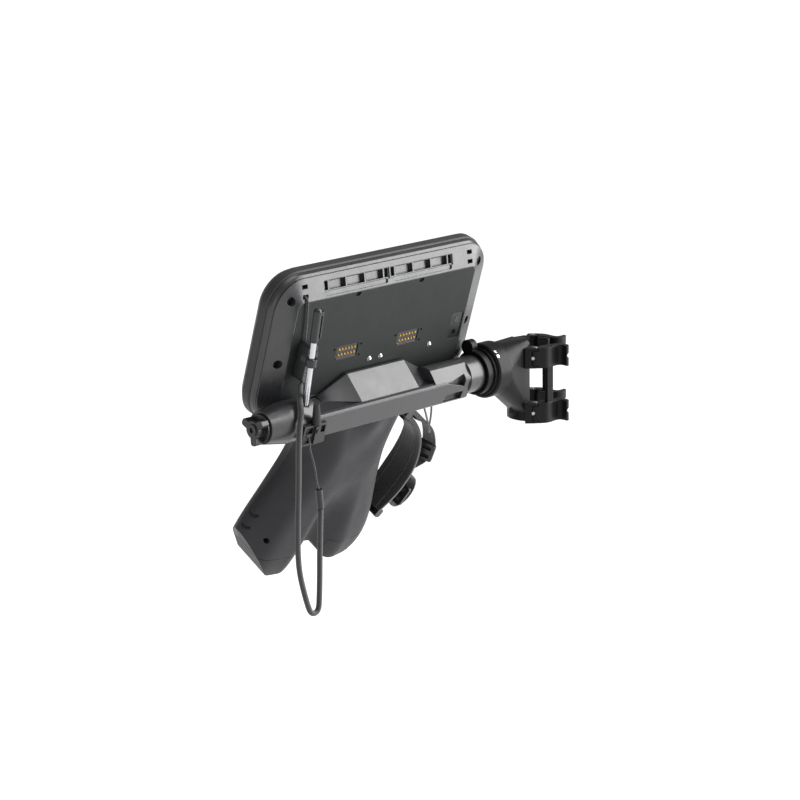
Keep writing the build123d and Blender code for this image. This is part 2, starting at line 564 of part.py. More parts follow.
def jaw(side, name):
    curve = [(x, side * y) for x, y in JAW_CURVE]
    inner_end = (4.4, side * 19.2)
    middle = ((LINER_R + 1.0) * cos(radians(56)), side * (LINER_R + 1.0) * sin(radians(56)))
    edges = [Spline(curve[:JAW_TIP + 1]), Spline(curve[JAW_TIP:]),
             ThreePointArc(curve[-1], middle, inner_end), Line(inner_end, curve[0])]
    height = JAW_Z[1] - JAW_Z[0]
    finger = extrude(make_face(edges), amount=height)
    notch = Pos(28.6, side * 16.4, height / 2) * Rot(90, 0, 0)
    finger -= notch * extrude(Circle(2.4), amount=12, both=True)
    pivot = Pos(PIVOT[0], side * PIVOT[1], 0)
    layer = EAR_THICK + GAP
    for z in (0, height - layer):
        finger -= pivot * Pos(0, 0, z) * extrude(Circle(EAR_R + GAP), amount=layer)
        finger -= block(-20, PIVOT[0] + 2.6, -40, 40, z, z + layer)
    finger += pivot * Pos(0, 0, layer) * extrude(Circle(EAR_R), amount=height - 2 * layer)
    finger -= block(-20, PIVOT[0] - EAR_R, -40, 40, -1, 40)
    finger -= extrude(Circle(LINER_R + 0.6), amount=30)
    finger -= pivot * Pos(0, 0, -1) * extrude(Circle(2.0 + FIT), amount=20)
    both = Pos(0, 0, JAW_Z[0]) * finger + Pos(0, 0, -JAW_Z[1]) * finger
    both += prism_z([(9.0, side * 20.0), (13.6, side * 17.4), (15.2, side * 20.0), (10.6, side * 23.2)],
                    -JAW_Z[0] - 1, JAW_Z[0] + 1)
    for z in (22.0, -22.0):
        both -= rod((-0.6, side * 25.0, z), (0, side, 0), 1.4, 5)
    add("jaw_" + name, CLAMP * both)
    pads, screws = [], []
    for z in (JAW_Z[0], -JAW_Z[1]):
        pad = Pos(0, 0, z + 0.5) * extrude(Circle(LINER_R + 0.6) - Circle(POLE_R), amount=15.0)
        spread = [(0, 0)] + [(40 * cos(radians(a)), side * 40 * sin(radians(a))) for a in (72, 54, 36)]
        pads.append(pad & prism_z(spread, -40, 40))
        screws.append(rod((-0.6, side * 25.05, z + 8.0), (0, side, 0), 1.35, 1.45))
    add("jaw_pads_" + name, CLAMP * Compound(pads))
    add("jaw_screws_" + name, CLAMP * Compound(screws))


# --- Hand strap ----------------------------------------------------------------------------
STRAP_PATH = [(-49.5, -20.0), (-60.0, -30.0), (-71.5, -45.0), (-77.5, -62.0), (-78.8, -80.0),
              (-76.5, -96.0), (-72.5, -110.0), (-68.0, -121.0)]
STRAP_Y = (-14.0, 4.5)
PAD_THICK, WEBBING_THICK = 4.0, 1.6
BUCKLES = (("upper", 0.50, 10.6, 2.0, -25.0), ("lower", 0.86, 12.5, -1.0, 0.0))


def strap_frame(share, offset, y):
    """Frame beside the strap's curve: x along the strap, z away from the hand."""
    line = Spline([(x, 0, z) for x, z in STRAP_PATH])
    tangent = line % share
    outward = Vector(tangent.Z, 0, -tangent.X)
    place = line @ share + outward * offset + Vector(0, y, 0)
    return Location(Plane(origin=place, x_dir=tangent, z_dir=outward))


def ribbon(offset, thickness, y0, y1):
    """Flat band that follows the strap's curve, offset outwards, with its width along y."""
    inner = [strap_frame(k / 16, offset, y0).position for k in range(17)]
    outer = [strap_frame(k / 16, offset + thickness, y0).position for k in range(17)]
    ends = [Line(inner[-1], outer[-1]), Line(outer[0], inner[0])]
    band = make_face([Spline(inner), ends[0], Spline(outer[::-1]), ends[1]])
    return extrude(band, amount=y1 - y0, dir=(0, 1, 0))


def buckle(length, width, thickness):
    """Ladder-lock buckle in x and y, with two webbing slots."""
    frame = extrude(RectangleRounded(length, width, 2.0), amount=thickness)
    for x in (-length / 4, length / 4):
        frame -= Pos(x, 0, -1) * extrude(Rectangle(length / 4.4, width - 6.0), amount=thickness + 2)
    return frame


def strap(grip_shape):
    add("strap_pad", ribbon(0.0, PAD_THICK, *STRAP_Y), GRIP)
    add("strap_webbing", ribbon(PAD_THICK + 0.05, WEBBING_THICK, STRAP_Y[0] + 2, STRAP_Y[1] - 2), GRIP)
    for name, share, offset, y, turn in BUCKLES:
        place = strap_frame(share, offset, y) * Rot(turn, 0, 0)
        add("strap_buckle_" + name, place * buckle(17.0, 20.0, 2.8), GRIP)
    ends = []
    for share, along in ((0.0, -3.9), (1.0, 3.9)):
        end = fillet(Box(7.6, 20.0, 7.4).edges().filter_by(Axis.Y), 2.4)
        ends.append(strap_frame(share, 2.4, -4.8) * Pos(along, 0, 0) * end - grip_shape)
    add("strap_anchors", Compound([solid for end in ends for solid in end.solids()]), GRIP)


# --- Stylus, dock and tether ---------------------------------------------------------------
DOCK_X, DOCK_BACK = 245.8, -4.2
CLASP_SPOT = (254.9, 5.0, 46.5)
ANCHOR_X = (240.0, 262.0)
ANCHOR_Y = (BARREL_R + 0.02, 19.0)


def stylus():
    length = (Vector(*STYLUS_TOP) - Vector(*STYLUS_TIP)).length
    place = Location(Plane(origin=STYLUS_TIP, x_dir=(0, 1, 0), z_dir=STYLUS_AXIS))
    tip = [(0, 0), (1.0, 0.2), (1.5, 2.0), (2.0, 8.0), (2.2, 14.0)]
    profile = tip + [(2.2, length - 26.0), (0, length - 26.0)]
    outline = make_face(Polyline([(x, 0, z) for x, z in profile], close=True))
    add("stylus_barrel", place * revolve(outline, Axis.Z), TABLET)
    cap = Pos(0, 0, length - 25.8) * extrude(Circle(3.0), amount=24.0)
    cap += Pos(0, 0, length - 1.8) * Sphere(3.0)
    add("stylus_cap", place * cap, TABLET)
    clip = Pos(0, 4.9, length - 13.0) * Box(2.4, 1.2, 22.0) + Pos(0, 4.2, length - 4.0) * Box(2.4, 2.2, 3.0)
    add("stylus_clip", place * (clip - Pos(0, 0, length - 30) * extrude(Circle(3.05), amount=40)), TABLET)


def dock():
    box = slab(DOCK_X, 41.0, 9.0, 30.0, 3.0, REAR_PANEL + 0.2, DOCK_BACK)
    for up in (31.0, 34.0, 37.0, 40.0, 43.0):
        box -= slab(DOCK_X, up, 6.0, 1.4, 0.4, DOCK_BACK - 0.8, 0)
    add("lanyard_dock", box, TABLET)
    ring = Location(Plane(origin=CLASP_SPOT, x_dir=(0, 1, 0), z_dir=STYLUS_AXIS))
    arm = block(242.6, 257.0, DOCK_BACK + 0.02, -1.6, 46.9, 51.4)
    arm += block(252.6, 257.0, -1.6, 2.2, 46.9, 51.4)
    clasp = ring * extrude(Circle(4.0), amount=6.0) + arm
    bore = ring * Pos(0, 0, -9) * extrude(Circle(2.2 + GAP), amount=30)
    add("stylus_clasp", clasp - bore, TABLET)


def tether_anchor():
    anchor = block(*ANCHOR_X, *ANCHOR_Y, -11.5, 4.6)
    windows = ((241.5, 246.0, -3.0, 2.8), (253.4, 260.5, -2.0, 3.0), (253.4, 260.5, -9.8, -4.6))
    for x0, x1, z0, z1 in windows:
        anchor -= block(x0, x1, 17.0, 22.0, z0, z1)
    anchor += block(247.4, 252.2, ANCHOR_Y[1], 20.6, -10.5, 3.6)
    boot = Pos(249.9, 17.6, 4.6) * Rot(0, 14, 0) * extrude(Circle(3.5), amount=18.0, taper=4)
    boot = boot & block(230, 270, -10, 40, 4.6, 40)
    anchor += rod((249.8, 20.6, -0.6), (0, 1, 0), 1.7, 0.8)
    add("tether_anchor", anchor, TABLET)
    add("tether_boot", boot - rod((200, 0, 0), (1, 0, 0), BARREL_R + 0.02, 90), TABLET)


CORD_R, LINE_R, LANYARD_R = 2.1, 0.65, 0.8


def routed(name, points, radius):
    """Cord of straight runs joined by tangent arcs, each as wide as its two runs allow."""
    corners = [Vector(*point) for point in points]
    radii = []
    for before, here, after in zip(corners, corners[1:], corners[2:]):
        turn = radians((here - before).get_angle(after - here))
        radii.append(0.45 * min((here - before).length, (after - here).length) / tan(turn / 2))
    path = FilletPolyline(*corners, radius=radii)
    print(name, "radii", [round(value, 1) for value in radii], "length", round(path.length, 1))
    parts[name] = sweep(Plane(origin=path @ 0, z_dir=path % 0) * Circle(radius), path=path)


def on_tablet(points):
    """Points given in the tablet's frame, in the shared frame."""
    return [tuple((TABLET * Pos(*point)).position) for point in points]


def tether():
    head = on_tablet([(248.5, -7.0, 24.2), (258.8, 5.2, 18.4), (262.5, 12.8, 14.3), (267.2, 18.2, 6.5)])
    hang = [
        (269.4, 19.8, 2.0), (270.0, 19.7, -23.0), (272.2, 19.6, -60.0), (272.4, 19.5, -80.0),
        (270.9, 19.4, -93.0), (267.6, 19.4, -106.0), (264.5, 19.3, -116.0), (261.6, 19.3, -123.6),
        (257.1, 19.3, -125.4), (253.2, 19.3, -122.8), (252.4, 19.3, -114.5), (251.5, 19.3, -100.0),
        (250.6, 19.3, -74.0), (248.9, 19.3, -47.6),
    ]
    routed("tether_cord", head + hang, CORD_R)
    foot, top = Vector(*hang[-1]), Vector(250.2, 19.3, -32.8)
    along = (top - foot).normalized()
    parts["tether_ferrule"] = rod(foot + along * 0.5, along, 2.6, (top - foot).length - 0.6)
    line = [tuple(top), (252.0, 19.2, -27.2), (252.9, 19.0, -17.5), (255.0, 18.8, -8.8),
            (257.5, 18.6, -1.8), (257.3, 18.1, 7.0)]
    routed("tether_line", line, LINE_R)
    loop = [(252.0, -17.6, 90.4), (251.9, -13.4, 90.0), (250.6, -13.0, 81.6), (248.4, -12.9, 69.0),
            (247.0, -12.6, 56.3)]
    routed("slot_lanyard", on_tablet(loop), LANYARD_R)


edge_bumper()
mid_frame()
front_bezel()
main_board()
rear_cover()
housing_screws()
rear_panel()
grip_shape = grip()
controls()
cradle()
tilt_joint()
clamp_body()
clamp_trim()
jaw(-1, "front")
jaw(1, "rear")
strap(grip_shape)
stylus()
dock()
tether_anchor()
tether()

if __name__ == "__main__":
    os.makedirs("parts", exist_ok=True)
    for name, shape in parts.items():
        export_step(shape, os.path.join("parts", name + ".step"))
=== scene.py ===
"""Studio scene of a rugged field data collector hung from its pole bracket."""

import json
from math import cos, pi, radians, sin, tau

import bmesh
import bpy
from mathutils import Matrix, Vector


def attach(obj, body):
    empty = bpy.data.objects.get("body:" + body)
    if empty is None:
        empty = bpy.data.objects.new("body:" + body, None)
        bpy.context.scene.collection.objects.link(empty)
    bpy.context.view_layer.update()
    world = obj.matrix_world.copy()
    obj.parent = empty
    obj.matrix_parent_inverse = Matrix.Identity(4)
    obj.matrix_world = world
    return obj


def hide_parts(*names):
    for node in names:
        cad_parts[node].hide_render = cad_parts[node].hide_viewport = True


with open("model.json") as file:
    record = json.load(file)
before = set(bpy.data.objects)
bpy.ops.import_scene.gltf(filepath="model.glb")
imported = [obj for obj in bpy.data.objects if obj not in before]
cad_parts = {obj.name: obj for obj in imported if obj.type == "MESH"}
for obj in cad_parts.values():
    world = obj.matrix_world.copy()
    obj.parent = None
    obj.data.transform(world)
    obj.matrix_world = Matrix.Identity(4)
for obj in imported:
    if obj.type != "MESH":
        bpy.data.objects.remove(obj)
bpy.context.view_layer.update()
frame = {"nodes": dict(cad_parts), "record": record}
nodes = frame["nodes"]

# The tablet hangs from the tilt axis, and the grip bends back from the tablet, as in the CAD.
AXIS_Z = 0.0167
TILT = 18
GRIP_PLACE = (0.1675, -0.010, -0.014)
GRIP_BEND = 13
TABLET = Matrix.Translation((0, 0, AXIS_Z)) @ Matrix.Rotation(radians(-TILT), 4, "X")
GRIP = TABLET @ Matrix.Translation(GRIP_PLACE) @ Matrix.Rotation(radians(-GRIP_BEND), 4, "X")

BEVEL_SAMPLES = 6
MM = 1000  # to the metre


# --- Materials ---------------------------------------------------------------------------
class Shader:
    """A node material that is built up one effect at a time. Colours are linear RGB."""

    def __init__(self, name, color, roughness, metallic=0.0):
        self.material = bpy.data.materials.new(name)
        self.material.use_nodes = True
        self.tree = self.material.node_tree
        self.bsdf = self.tree.nodes["Principled BSDF"]
        self.color = (*color, 1.0)
        self.bsdf.inputs["Base Color"].default_value = self.color
        self.bsdf.inputs["Roughness"].default_value = roughness
        self.bsdf.inputs["Metallic"].default_value = metallic
        self.roughness = roughness
        self.coords = self.node("ShaderNodeTexCoord")
        self.position = self.coords.outputs["Object"]
        self.normal = None
        self.tint = None
        self.rough = None

    def node(self, kind, **inputs):
        made = self.tree.nodes.new(kind)
        for key, value in inputs.items():
            made.inputs[key.replace("_", " ")].default_value = value
        return made

    def link(self, output, target):
        self.tree.links.new(output, target)

    def math(self, operation, a, b=None, clamp=False):
        made = self.tree.nodes.new("ShaderNodeMath")
        made.operation = operation
        made.use_clamp = clamp
        for slot, value in zip(made.inputs, (a, b)):
            if value is None:
                continue
            if isinstance(value, (int, float)):
                slot.default_value = value
            else:
                self.link(value, slot)
        return made.outputs[0]

    def span(self, value, low, high, out_low=0.0, out_high=1.0):
        """Maps a value's range from low to high onto another range, and clamps it there."""
        made = self.node("ShaderNodeMapRange")
        self.link(value, made.inputs["Value"])
        limits = {"From Min": low, "From Max": high, "To Min": out_low, "To Max": out_high}
        for key, number in limits.items():
            made.inputs[key].default_value = number
        return made.outputs["Result"]

    def noise(self, scale, detail=2.0, rough=0.5, stretch=None):
        source = self.position
        if stretch:
            mapping = self.node("ShaderNodeMapping", Scale=stretch)
            self.link(source, mapping.inputs["Vector"])
            source = mapping.outputs["Vector"]
        made = self.node("ShaderNodeTexNoise", Scale=scale, Detail=detail, Roughness=rough)
        self.link(source, made.inputs["Vector"])
        return made.outputs["Fac"]

    def blend(self, fac, other):
        """Mixes the running colour towards another colour by a factor."""
        mix = self.node("ShaderNodeMix")
        mix.data_type = "RGBA"
        self.link(fac, mix.inputs["Factor"])
        if self.tint is None:
            mix.inputs["A"].default_value = self.color
        else:
            self.link(self.tint, mix.inputs["A"])
        mix.inputs["B"].default_value = (*other, 1.0)
        self.tint = mix.outputs["Result"]
        return self

    def rougher(self, fac, amount):
        """Adds a varying amount to the running roughness."""
        base = self.roughness if self.rough is None else self.rough
        self.rough = self.math("ADD", self.math("MULTIPLY", fac, amount), base, clamp=True)
        return self

    def bump(self, height, strength, distance):
        """Adds relief, up to a distance in metres, over the running normal."""
        made = self.node("ShaderNodeBump", Strength=strength, Distance=distance)
        self.link(height, made.inputs["Height"])
        if self.normal is not None:
            self.link(self.normal, made.inputs["Normal"])
        self.normal = made.outputs["Normal"]
        return self

    def softened(self, radius):
        """Rounds the shading over hard edges, as a moulding or machining radius does."""
        made = self.node("ShaderNodeBevel", Radius=radius)
        made.samples = BEVEL_SAMPLES
        self.normal = made.outputs["Normal"]
        return self

    def worn(self, radius, color, amount):
        """Lighter, scuffed edges, found where the rounded normal leaves the flat one."""
        wide = self.node("ShaderNodeBevel", Radius=radius)
        wide.samples = BEVEL_SAMPLES
        flat = self.node("ShaderNodeNewGeometry")
        dot = self.tree.nodes.new("ShaderNodeVectorMath")
        dot.operation = "DOT_PRODUCT"
        self.link(wide.outputs["Normal"], dot.inputs[0])
        self.link(flat.outputs["Normal"], dot.inputs[1])
        edge = self.span(dot.outputs["Value"], 0.995, 0.86)
        scuff = self.span(self.noise(240.0, 4.0, 0.65), 0.42, 0.62)
        fac = self.math("MULTIPLY", self.math("MULTIPLY", edge, scuff), amount, clamp=True)
        self.blend(fac, color)
        self.rougher(fac, 0.15)
        return self

    def done(self):
        """Wires what has been built up into the surface, and gives the material."""
        if self.tint is not None:
            self.link(self.tint, self.bsdf.inputs["Base Color"])
        if self.rough is not None:
            self.link(self.rough, self.bsdf.inputs["Roughness"])
        if self.normal is not None:
            self.link(self.normal, self.bsdf.inputs["Normal"])
        return self.material


def scaled(color, factor):
    return tuple(min(1.0, channel * factor) for channel in color)


def moulded(name, color, roughness, grain=1500.0, depth=0.00004, wear=0.35, edge=0.0005, shine=0.5):
    """Moulded plastic or rubber: fine spark grain, faint mottling, slightly scuffed edges."""
    shader = Shader(name, color, roughness).softened(edge)
    shader.bsdf.inputs["Specular IOR Level"].default_value = shine
    cloud = shader.noise(38.0, 4.0, 0.6)
    shader.blend(shader.span(cloud, 0.35, 0.7, 0.0, 0.5), scaled(color, 1.28))
    shader.rougher(shader.span(shader.noise(90.0, 5.0, 0.7), 0.3, 0.7, -0.5, 0.5), 0.1)
    shader.worn(edge * 1.6, scaled(color, 2.4), wear)
    fine = shader.noise(grain, 2.0, 0.6)
    coarse = shader.noise(grain / 3.1, 2.0, 0.5)
    return shader.bump(shader.math("ADD", fine, coarse), 0.35, depth).done()


def metal(name, color, roughness, stretch=(1.0, 1.0, 1.0), lines=900.0, edge=0.0003):
    """Machined metal with faint tool lines."""
    shader = Shader(name, color, roughness, 1.0).softened(edge)
    streak = shader.noise(lines, 3.0, 0.6, stretch)
    shader.rougher(shader.span(streak, 0.3, 0.7, -0.5, 0.5), 0.16)
    shader.blend(shader.span(shader.noise(120.0, 4.0, 0.6), 0.4, 0.75, 0.0, 0.45), scaled(color, 0.72))
    return shader.bump(streak, 0.12, 0.00002).done()


def uv_pattern(shader, across, along):
    """The mesh's own UV, times pattern counts across and along."""
    mapping = shader.node("ShaderNodeMapping", Scale=(across, along, 1.0))
    shader.link(shader.coords.outputs["UV"], mapping.inputs["Vector"])
    split = shader.node("ShaderNodeSeparateXYZ")
    shader.link(mapping.outputs["Vector"], split.inputs["Vector"])
    return split.outputs["X"], split.outputs["Y"]


def ridge(shader, value, phase=0.0):
    """A smooth wave, from 0 to 1, once for each whole step of a value."""
    angle = shader.math("MULTIPLY", shader.math("ADD", value, phase), tau)
    return shader.math("ADD", shader.math("MULTIPLY", shader.math("SINE", angle), 0.5), 0.5)


def woven(name, color, across, along, roughness=0.85, depth=0.0003):
    """Flat-woven tape: warp ribs crossed by weft, with a little fuzz."""
    shader = Shader(name, color, roughness)
    u, v = uv_pattern(shader, across, along)
    warp = ridge(shader, u)
    weft = ridge(shader, shader.math("ADD", v, shader.math("MULTIPLY", shader.math("FLOOR", u), 0.5)))
    thread = shader.math("MULTIPLY", warp, weft)
    shader.blend(shader.span(thread, 0.0, 1.0, 0.0, 0.55), scaled(color, 3.2))
    shader.rougher(shader.noise(1500.0, 3.0), 0.1)
    fuzz = shader.math("MULTIPLY", shader.noise(2600.0, 3.0, 0.7), 0.5)
    shader.bsdf.inputs["Sheen Weight"].default_value = 0.35
    shader.bsdf.inputs["Sheen Roughness"].default_value = 0.5
    return shader.bump(shader.math("ADD", thread, fuzz), 0.6, depth).done()


def braided(name, color, strands, pitch, roughness=0.7, light=2.6, depth=0.00022):
    """Braided sleeve on a cord: two sets of strands that cross on the slant."""
    shader = Shader(name, color, roughness)
    u, v = uv_pattern(shader, strands, pitch)
    left = ridge(shader, shader.math("ADD", u, v))
    right = ridge(shader, shader.math("SUBTRACT", u, v))
    over = shader.math("MAXIMUM", left, right)
    shader.blend(shader.span(over, 0.35, 1.0, 0.0, 0.8), scaled(color, light))
    fuzz = shader.math("MULTIPLY", shader.noise(3000.0, 2.0, 0.7), 0.35)
    shader.bsdf.inputs["Sheen Weight"].default_value = 0.3
    return shader.bump(shader.math("ADD", over, fuzz), 0.7, depth).done()


def padding(name, color):
    """Soft knitted padding, with a dotted knit."""
    shader = Shader(name, color, 0.92)
    u, v = uv_pattern(shader, 14.0, 900.0)
    knit = shader.math("MULTIPLY", ridge(shader, u), ridge(shader, v))
    shader.blend(shader.span(knit, 0.2, 1.0, 0.0, 0.6), scaled(color, 2.6))
    soft = shader.math("MULTIPLY", shader.noise(1800.0, 4.0, 0.7), 0.6)
    shader.bsdf.inputs["Sheen Weight"].default_value = 0.45
    return shader.bump(shader.math("ADD", knit, soft), 0.5, 0.00022).done()


def glazed(name, color, alpha, roughness=0.08, coat=0.6):
    """Glass or clear plastic over something dark."""
    shader = Shader(name, color, roughness)
    shader.bsdf.inputs["Alpha"].default_value = alpha
    shader.bsdf.inputs["Coat Weight"].default_value = coat
    shader.bsdf.inputs["Coat Roughness"].default_value = 0.04
    shader.rougher(shader.span(shader.noise(60.0, 5.0, 0.7), 0.4, 0.75), 0.06)
    shader.blend(shader.span(shader.noise(14.0, 3.0), 0.4, 0.8, 0.0, 0.3), scaled(color, 1.5))
    return shader.bump(shader.noise(400.0, 2.0), 0.02, 0.00002).done()


CHARCOAL = (0.019, 0.0193, 0.0212)
BLACK = (0.007, 0.007, 0.008)
look = {
    "housing": moulded("housing_plastic", CHARCOAL, 0.30, wear=0.25, shine=0.6),
    "bumper": moulded("bumper_rubber", (0.021, 0.0215, 0.023), 0.5, grain=1100.0, wear=0.15, shine=0.4),
    "panel": moulded("panel_plastic", (0.0120, 0.0140, 0.0135), 0.5, grain=2200.0, wear=0.1, shine=0.2),
    "bezel": moulded("bezel_plastic", (0.014, 0.014, 0.016), 0.42, wear=0.2),
    "black": moulded("black_plastic", BLACK, 0.34, wear=0.3, edge=0.0004),
    "bracket": moulded(
        "bracket_plastic", (0.0185, 0.0187, 0.0208), 0.31, grain=1300.0, wear=0.25, edge=0.0008, shine=0.6
    ),
    "clamp": moulded(
        "clamp_plastic", (0.0045, 0.0045, 0.005), 0.40, grain=1200.0, wear=0.4, edge=0.0009, shine=0.16
    ),
    "keys": moulded("key_rubber", (0.05, 0.051, 0.054), 0.6, grain=2000.0, wear=0.15),
    "accent_key": moulded("accent_key_rubber", (0.55, 0.20, 0.03), 0.55, grain=2000.0, wear=0.1),
    "pack": moulded("pack_plastic", (0.02, 0.021, 0.023), 0.5),
    "pad_rubber": moulded("pad_rubber", (0.006, 0.006, 0.007), 0.7, grain=900.0, wear=0.1),
    "board": moulded("board_lacquer", (0.012, 0.07, 0.025), 0.35),
    "gold": metal("gold_contact", (0.50, 0.30, 0.075), 0.32),
    "steel": metal("chromed_steel", (0.72, 0.72, 0.74), 0.16),
    "dark_screw": metal("blackened_steel", (0.05, 0.05, 0.055), 0.35),
    "pin_steel": metal("turned_steel", (0.42, 0.42, 0.44), 0.3),
    "glass": glazed("cover_glass", (0.008, 0.009, 0.011), 0.6),
    "display": glazed("display_stack", (0.008, 0.009, 0.012), 1.0, 0.2),
    "camera_glass": glazed("camera_glass", (0.003, 0.003, 0.004), 1.0, 0.3, 0.0),
    "stylus_barrel": metal("silvered_barrel", (0.52, 0.53, 0.55), 0.26, (6.0, 6.0, 0.3)),
    "cord": braided("cord_sleeve", (0.0105, 0.0108, 0.012), 8.0, 330.0),
    "webbing": woven("strap_webbing", (0.0032, 0.0032, 0.0040), 9.0, 480.0),
    "padding": padding("strap_padding", (0.0045, 0.0045, 0.0056)),
}
# The back of the grip is the housing's plastic with a duller, softer surface.
SOFT_TOUCH = ("grip_rear_shell", "battery_cap_left", "battery_cap_right")
grip_look = moulded("grip_plastic", (0.0165, 0.0168, 0.0187), 0.52, grain=1300.0, wear=0.2, shine=0.26)
for entry in frame["record"]["subparts"]:
    target = nodes[entry["node"]]
    target.data.materials.clear()
    slot_look = look[entry["material_slot"]]
    target.data.materials.append(grip_look if entry["node"] in SOFT_TOUCH else slot_look)


# --- Soft pieces --------------------------------------------------------------------------
def new_object(name, mesh, material):
    """Smooth-shaded object from a mesh, in the scene."""
    made = bpy.data.objects.new(name, mesh)
    bpy.context.scene.collection.objects.link(made)
    mesh.materials.append(material)
    for polygon in mesh.polygons:
        polygon.use_smooth = True
    return made


def spline_points(points, resolution=14):
    """Smooth line that a cord follows, with the route's points as its control points."""
    curve = bpy.data.curves.new("route", "CURVE")
    curve.dimensions = "3D"
    spline = curve.splines.new("NURBS")
    spline.points.add(len(points) - 1)
    for point, place in zip(spline.points, points):
        point.co = (*place, 1.0)
    spline.order_u = 3
    spline.use_endpoint_u = True
    spline.resolution_u = resolution
    holder = bpy.data.objects.new("route", curve)
    mesh = bpy.data.meshes.new_from_object(holder)
    line = [vertex.co.copy() for vertex in mesh.vertices]
    bpy.data.objects.remove(holder)
    bpy.data.meshes.remove(mesh)
    return line


def sweep(name, line, section, material, side, widen=None):
    """Sweeps a closed section, given in (side, outward) offsets, along a line, with UVs."""
    mesh = bpy.data.meshes.new(name)
    bm = bmesh.new()
    uv = bm.loops.layers.uv.new("UVMap")
    count = len(section)
    rings = []
    lengths = []
    travel = 0.0
    direction = (line[1] - line[0]).normalized()
    across = side if side is not None else direction.orthogonal().normalized()
    for k, place in enumerate(line):
        ahead = line[min(k + 1, len(line) - 1)] - line[max(k - 1, 0)]
        ahead.normalize()
        across = (across - ahead * across.dot(ahead)).normalized()
        up = ahead.cross(across)
        grow = 1.0 if widen is None else widen(k / (len(line) - 1))
        rings.append([bm.verts.new(place + across * a * grow + up * b) for a, b in section])
        if k:
            travel += (place - line[k - 1]).length
        lengths.append(travel)
    for k in range(len(line) - 1):
        for j in range(count):
            n = (j + 1) % count
            face = bm.faces.new((rings[k][j], rings[k][n], rings[k + 1][n], rings[k + 1][j]))
            near, far = lengths[k], lengths[k + 1]
            for loop, (u, v) in zip(face.loops, ((j, near), (j + 1, near), (j + 1, far), (j, far))):
                loop[uv].uv = (u / count, v)
    bm.faces.new(reversed(rings[0]))
    bm.faces.new(rings[-1])
    bmesh.ops.recalc_face_normals(bm, faces=bm.faces)
    bm.to_mesh(mesh)
    bm.free()
    return new_object(name, mesh, material)


def circle(radius, count=20):
    """Round section for a cord."""
    return [(radius * cos(tau * k / count), radius * sin(tau * k / count)) for k in range(count)]


def hanging_cord(name, points, radius, replaced=None):
    """Cord on a smooth line along its route, which may take the place of a CAD tube."""
    line = spline_points(points)
    piece = sweep(name, line, circle(radius), look["cord"], None)
    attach(piece, "tablet")
    if replaced:
        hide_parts(replaced)


def on_tablet(points):
    """Points of the tablet's frame, in metres."""
    return [TABLET @ Vector(p) for p in points]


def on_grip(points, y):
    """Points (x, z) in millimetres, in the plane of the grip's frame at a depth y in metres."""
    return [GRIP @ Vector((x / MM, y, z / MM)) for x, z in points]


# The tether's head is laid out in the tablet's frame, and the rest in the part's own, where it hangs.
TETHER_R = 0.0021
TETHER_HEAD = [
    (0.2485, -0.0070, 0.0242), (0.2588, 0.0052, 0.0184), (0.2625, 0.0128, 0.0143),
    (0.2672, 0.0182, 0.0065),
]
TETHER_HANG = [
    (0.2694, 0.0198, 0.0020), (0.2700, 0.0197, -0.0230), (0.2722, 0.0196, -0.0600),
    (0.2724, 0.0195, -0.0800), (0.2709, 0.0194, -0.0930), (0.2676, 0.0194, -0.1060),
    (0.2645, 0.0193, -0.1160), (0.2616, 0.0193, -0.1236), (0.2571, 0.0193, -0.1254),
    (0.2532, 0.0193, -0.1228), (0.2524, 0.0193, -0.1145), (0.2515, 0.0193, -0.1000),
    (0.2506, 0.0193, -0.0740), (0.2489, 0.0193, -0.0476),
]
TETHER_LINE_R = 0.00065
TETHER_LINE = [
    (0.2502, 0.0193, -0.0328), (0.2520, 0.0192, -0.0272), (0.2529, 0.0190, -0.0175),
    (0.2550, 0.0188, -0.0088), (0.2575, 0.0186, -0.0018), (0.2573, 0.0181, 0.0070),
]
LANYARD_R = 0.0008
SLOT_LANYARD = [
    (0.2520, -0.0176, 0.0904), (0.2519, -0.0134, 0.0900), (0.2506, -0.0130, 0.0816),
    (0.2484, -0.0129, 0.0690), (0.2470, -0.0126, 0.0563),
]
tether = on_tablet(TETHER_HEAD) + [Vector(p) for p in TETHER_HANG]
hanging_cord("tether_sleeve", tether, TETHER_R, "tether_cord")
end_line = [Vector(p) for p in TETHER_LINE]
hanging_cord("tether_end_line", end_line, TETHER_LINE_R, "tether_line")
hanging_cord("slot_lanyard_line", on_tablet(SLOT_LANYARD), LANYARD_R, "slot_lanyard")

# Hand strap, in the grip's frame: a padded band with webbing over it. Paths are in millimetres.
STRAP_PATH = [
    (-50.5, -19.0), (-64.0, -28.5), (-76.0, -43.5), (-82.0, -61.0), (-83.0, -79.0), (-79.5, -95.5),
    (-74.0, -110.0), (-68.0, -122.0),
]
STRAP_MIDDLE = -0.00475
STRAP_WIDTH = 0.0185
TAPE_WIDTH = STRAP_WIDTH - 0.004


def catmull(points, steps):
    """Smooth line through points."""
    line = []
    extended = [points[0] * 2 - points[1]] + points + [points[-1] * 2 - points[-2]]
    for a, b, c, d in zip(extended, extended[1:], extended[2:], extended[3:]):
        for k in range(steps):
            t = k / steps
            square = (a * 2 - b * 5 + c * 4 - d) * t * t
            cube = (b * 3 - a - c * 3 + d) * t ** 3
            line.append(0.5 * ((b * 2) + (c - a) * t + square + cube))
    return line + [points[-1]]


strap_line = catmull(on_grip(STRAP_PATH, STRAP_MIDDLE), 8)
strap_side = (GRIP.to_3x3() @ Vector((0, 1, 0))).normalized()


